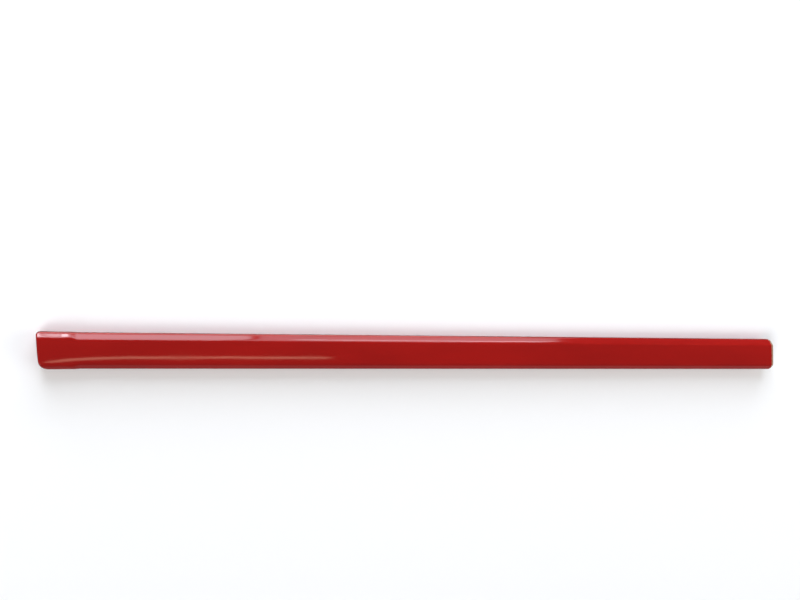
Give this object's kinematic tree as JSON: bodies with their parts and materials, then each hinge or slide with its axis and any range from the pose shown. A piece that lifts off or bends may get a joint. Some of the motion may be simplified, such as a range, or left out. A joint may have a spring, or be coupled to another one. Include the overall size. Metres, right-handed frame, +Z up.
{
  "type": "carpenter pencil",
  "caption": "Long flat carpenter's pencil in glossy red lacquer, unsharpened, with a flattened octagon section, one dipped end and one raw sawn end.",
  "frame": {"origin": "under the middle of the pencil, on the surface that it lies on", "axes": "+X along the pencil to the raw writing end, +Y across its width, +Z up through its thickness"},
  "size_m": [0.3012, 0.0132, 0.007],
  "materials": {
    "cedar": "raw sawn",
    "graphite": "dull grey with a faint shine",
    "glue": "dried, translucent cream",
    "primer": "matte off-white",
    "red_lacquer": "high gloss"
  },
  "bodies": {
    "root": {"upper_slat": "cedar", "lower_slat": "cedar", "graphite_core": "graphite", "core_glue": "glue", "seam_glue_front": "glue", "seam_glue_back": "glue", "primer_coat": "primer", "red_lacquer": "red_lacquer", "dipped_end_cap": "red_lacquer"}
  },
  "joints": []
}
